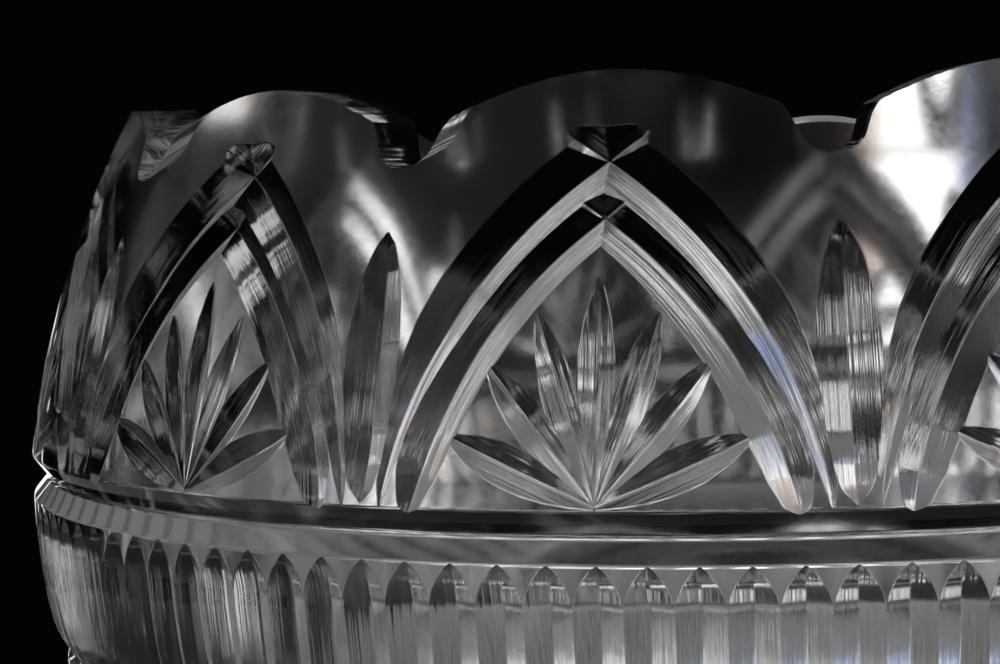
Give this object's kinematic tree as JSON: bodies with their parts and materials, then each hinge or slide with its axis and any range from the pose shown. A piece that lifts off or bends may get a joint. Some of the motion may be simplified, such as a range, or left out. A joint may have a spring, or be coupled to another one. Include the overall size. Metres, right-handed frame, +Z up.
{
  "type": "punch bowl",
  "caption": "Round cut-crystal punch bowl with a scalloped rim, a groove and a fluted band, loose on an hourglass glass stand with a low lip round its seat.",
  "frame": {"origin": "centre of the stand's foot, on the surface that it stands on", "axes": "+Z up along the axis of the bowl and stand; a rim notch lies on +X and on +Y"},
  "size_m": [0.3, 0.3, 0.2738],
  "materials": {
    "bowl_crystal": "polished clear lead crystal",
    "stand_crystal": "polished clear lead crystal"
  },
  "bodies": {
    "stand": {"stand": "stand_crystal"},
    "bowl": {"bowl": "bowl_crystal"}
  },
  "joints": [
    {"name": "bowl_lift", "type": "slide", "parent": "stand", "child": "bowl", "axis": [0, 0, 1], "range_m": [0, 0.06]}
  ]
}
